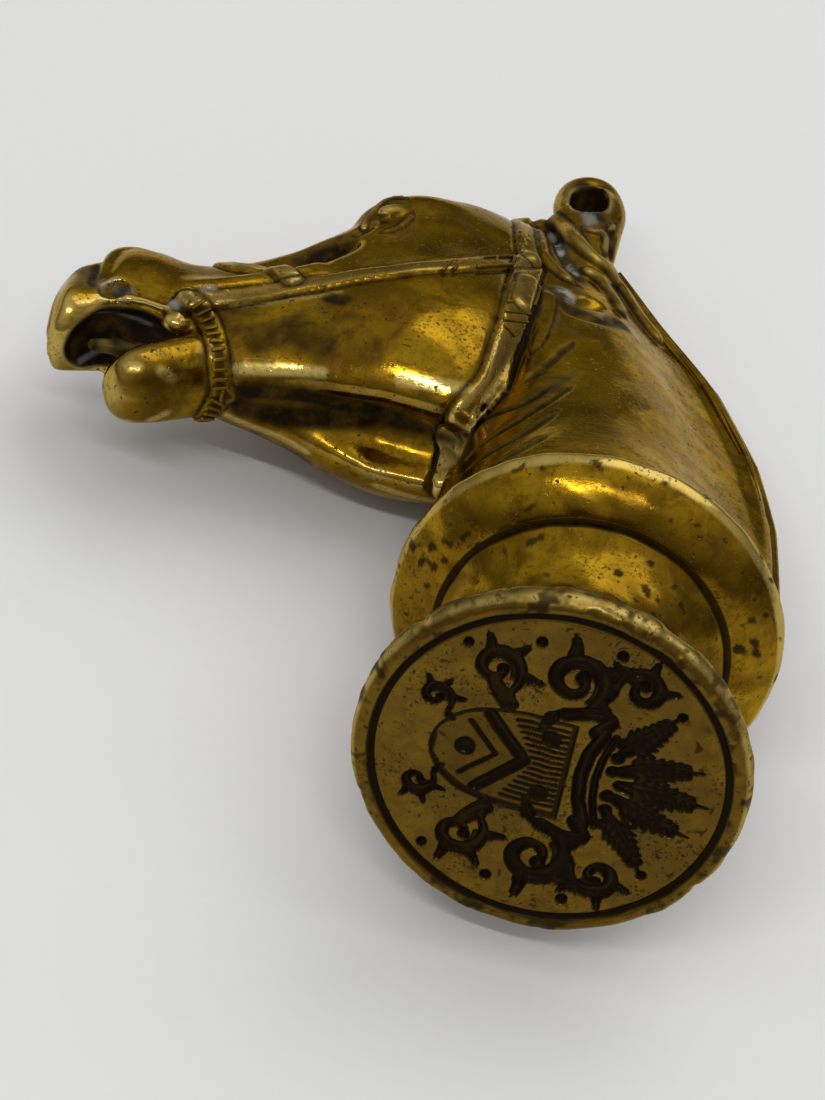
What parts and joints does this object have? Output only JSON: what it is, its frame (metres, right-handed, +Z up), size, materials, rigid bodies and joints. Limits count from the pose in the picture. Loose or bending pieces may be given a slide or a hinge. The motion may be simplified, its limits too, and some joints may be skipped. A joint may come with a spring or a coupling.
{
  "type": "seal matrix",
  "caption": "Brass desk seal: an engraved round die on a waisted stem and flared collar, with a bridled horse's head as its handle, lying on its side.",
  "frame": {"origin": "centre of the bounding box on the surface that the seal lies on", "axes": "+Z up from the table with the seal lying on its right side, -Y out of the engraved face (tipped up by the lying tilt), -X towards the horse's nose"},
  "size_m": [0.0508, 0.0651, 0.0267],
  "materials": {
    "cast_brass": "polished by handling, with dark patina in the recesses",
    "turned_brass": "polished and spotted with age",
    "die_brass": "worn bright rim and dark engraved field",
    "stud_brass": "bare turned thread"
  },
  "bodies": {
    "root": {"horse_head_handle": "cast_brass", "collar_flange": "turned_brass", "waisted_stem": "turned_brass", "matrix_die": "die_brass", "joining_stud": "stud_brass"}
  },
  "joints": []
}
